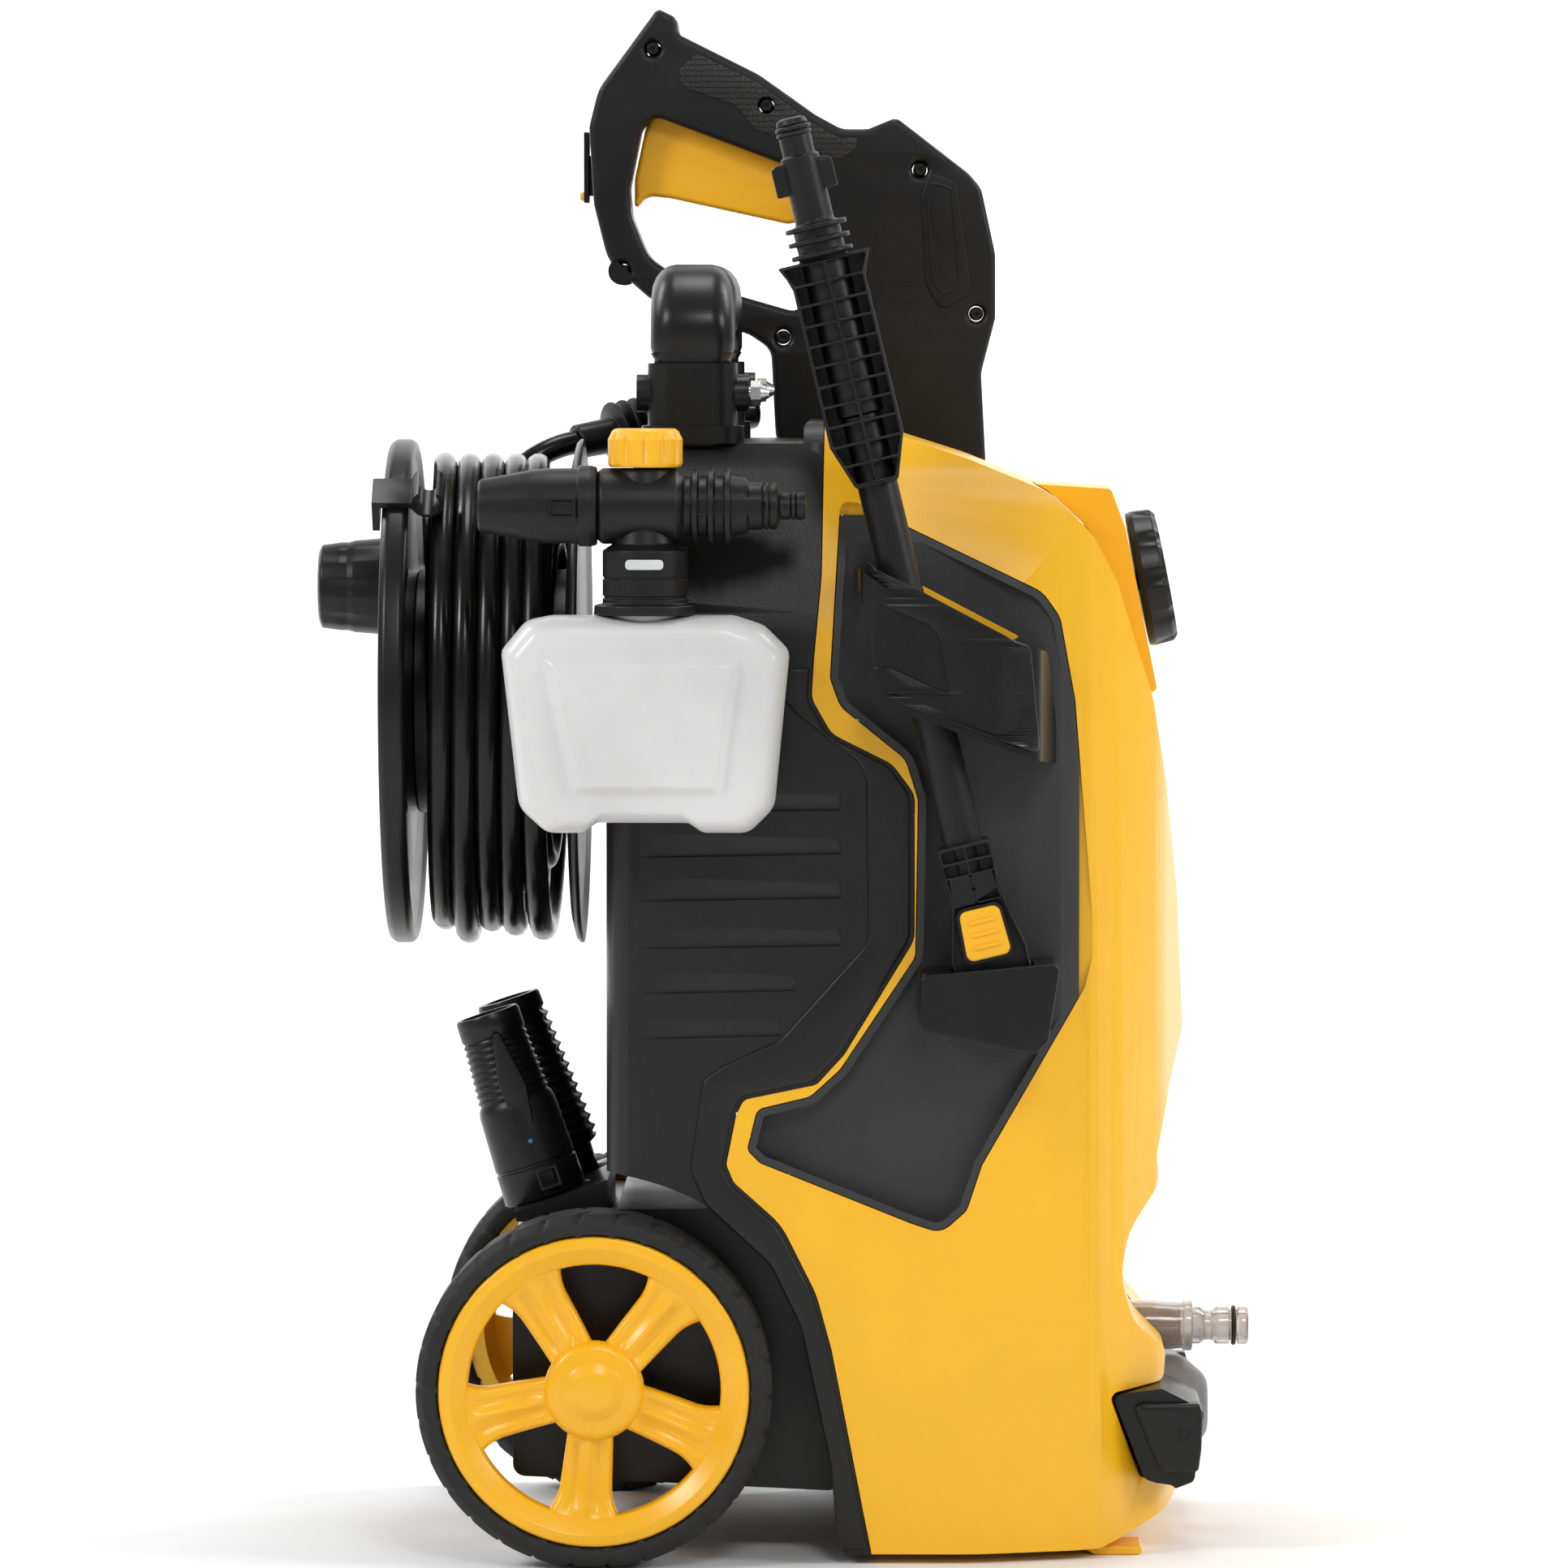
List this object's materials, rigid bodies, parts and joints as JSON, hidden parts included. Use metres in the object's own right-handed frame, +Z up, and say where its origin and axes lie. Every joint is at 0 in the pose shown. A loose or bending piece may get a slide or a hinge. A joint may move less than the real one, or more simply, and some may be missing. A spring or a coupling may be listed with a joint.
{
  "type": "pressure washer",
  "caption": "Upright electric pressure washer on wheels with hose reel, pull-out handle, trigger gun, lance, foam bottle and spare nozzles stored on its body.",
  "frame": {"origin": "centre of the overall footprint, on the floor", "axes": "+X towards the front with the switch and the water inlet, -Y the side that carries the lance, +Z up"},
  "size_m": [0.382, 0.3205, 0.6274],
  "materials": {
    "housing_black": "fine-grained black moulding",
    "cover_yellow": "satin yellow moulding",
    "trim_black": "satin black moulding",
    "cap_grey": "satin grey moulding",
    "clear_plastic": "clear plastic",
    "screen_mesh": "fine woven mesh",
    "seal_rubber": "smooth rubber",
    "bright_steel": "zinc plated",
    "motor_steel": "painted",
    "rotor_steel": "stacked sheet and copper",
    "pump_aluminium": "as cast",
    "hose_rubber": "satin hose jacket",
    "wheel_yellow": "satin yellow moulding",
    "tyre_rubber": "matt black tyre",
    "gun_black": "fine-grained black moulding",
    "grip_rubber": "soft grip",
    "control_yellow": "satin yellow moulding",
    "bottle_plastic": "milky blow-moulded plastic"
  },
  "bodies": {
    "machine": {"rear_housing": "housing_black", "front_cover": "cover_yellow", "switch_boss": "cover_yellow", "base_tray": "trim_black", "front_feet": "cover_yellow", "lance_pocket": "housing_black", "gun_pocket": "housing_black", "lance_strap": "trim_black", "lance_cup": "trim_black", "gun_holder": "trim_black", "front_bumper": "trim_black", "outlet_cap": "cap_grey", "inlet_bowl": "clear_plastic", "inlet_spigot": "clear_plastic", "inlet_screen": "screen_mesh", "inlet_o_ring": "seal_rubber", "axle": "bright_steel", "motor_can": "motor_steel", "pump": "pump_aluminium", "inlet_pipe": "hose_rubber", "outlet_pipe": "hose_rubber", "switch_box": "trim_black", "capacitor": "pump_aluminium", "cord_gland": "seal_rubber", "handle_collars": "trim_black", "clamp_bolts": "bright_steel", "reel_bracket": "trim_black", "hose_lead": "hose_rubber", "hose_coupling": "trim_black", "gun_shell_left": "gun_black", "gun_shell_right": "gun_black", "gun_grip_pad": "grip_rubber", "gun_barrel": "trim_black", "foam_bracket": "trim_black", "nozzle_holder": "trim_black"},
    "handle": {"handle_bow": "trim_black"},
    "wheel_left": {"wheel_left": "wheel_yellow", "tyre_left": "tyre_rubber"},
    "wheel_right": {"wheel_right": "wheel_yellow", "tyre_right": "tyre_rubber"},
    "reel": {"reel_drum": "trim_black", "inner_flange": "trim_black", "outer_flange": "trim_black", "hose_clip": "trim_black", "hose_coil": "hose_rubber"},
    "crank": {"crank_knob": "trim_black"},
    "on_off_knob": {"switch_knob": "trim_black"},
    "rotor": {"motor_rotor": "rotor_steel"},
    "trigger": {"gun_trigger": "control_yellow"},
    "latch": {"gun_latch": "trim_black"},
    "foam_cannon": {"foam_bottle": "bottle_plastic", "foam_head": "gun_black"},
    "dosing_knob": {"foam_knob": "control_yellow"},
    "foam_spray": {"foam_nozzle": "gun_black"},
    "lance": {"lance_grip": "gun_black", "lance_tube": "gun_black", "lance_head": "gun_black"},
    "lance_button": {"lance_button": "control_yellow"},
    "vario": {"vario_nozzle": "gun_black"},
    "turbo": {"turbo_nozzle": "gun_black"}
  },
  "joints": [
    {"name": "handle_slide", "type": "slide", "parent": "machine", "child": "handle", "axis": [0, 0, 1], "range_m": [0, 0.17]},
    {"name": "wheel_left_spin", "type": "hinge", "parent": "machine", "child": "wheel_left", "pos_m": [-0.074, -0.117, 0.071], "axis": [0, 1, 0], "continuous": true},
    {"name": "wheel_right_spin", "type": "hinge", "parent": "machine", "child": "wheel_right", "pos_m": [-0.074, 0.117, 0.071], "axis": [0, 1, 0], "continuous": true},
    {"name": "reel_spin", "type": "hinge", "parent": "machine", "child": "reel", "pos_m": [-0.12, 0.006, 0.344], "axis": [1, 0, 0], "continuous": true},
    {"name": "crank_knob_spin", "type": "hinge", "parent": "reel", "child": "crank", "pos_m": [-0.18, 0.006, 0.387], "axis": [1, 0, 0], "continuous": true},
    {"name": "on_off_turn", "type": "hinge", "parent": "machine", "child": "on_off_knob", "pos_m": [0.1443, 0, 0.39], "axis": [0.9816, 0, 0.1908], "range_deg": [0, 90]},
    {"name": "rotor_spin", "type": "hinge", "parent": "machine", "child": "rotor", "pos_m": [0.07, 0, 0.152], "axis": [0, 0, 1], "continuous": true},
    {"name": "trigger_pull", "type": "hinge", "parent": "machine", "child": "trigger", "pos_m": [0.024, 0.14, 0.55], "axis": [0, 1, 0], "range_deg": [0, 11], "stiffness_Nm_per_rad": 0.6, "springref_deg": -17.19},
    {"name": "latch_slide", "type": "slide", "parent": "machine", "child": "latch", "axis": [0, 0, -1], "range_m": [0, 0.006]},
    {"name": "foam_cannon_lift", "type": "slide", "parent": "machine", "child": "foam_cannon", "axis": [0, -1, 0], "range_m": [0, 0.06]},
    {"name": "dosing_turn", "type": "hinge", "parent": "foam_cannon", "child": "dosing_knob", "pos_m": [-0.053, -0.138, 0.44], "axis": [0, 0, 1], "range_deg": [0, 270]},
    {"name": "foam_spray_turn", "type": "hinge", "parent": "foam_cannon", "child": "foam_spray", "pos_m": [-0.09, -0.138, 0.423], "axis": [1, 0, 0], "range_deg": [-90, 90]},
    {"name": "lance_lift", "type": "slide", "parent": "machine", "child": "lance", "axis": [-0.2323, 0, 0.9727], "range_m": [0, 0.04]},
    {"name": "lance_button_press", "type": "slide", "parent": "lance", "child": "lance_button", "axis": [0, 1, 0], "range_m": [0, 0.002], "stiffness_N_per_m": 300, "springref_m": -0.002},
    {"name": "vario_lift", "type": "slide", "parent": "machine", "child": "vario", "axis": [-0.309, 0, 0.9511], "range_m": [0, 0.022]},
    {"name": "turbo_lift", "type": "slide", "parent": "machine", "child": "turbo", "axis": [-0.309, 0, 0.9511], "range_m": [0, 0.018]}
  ]
}
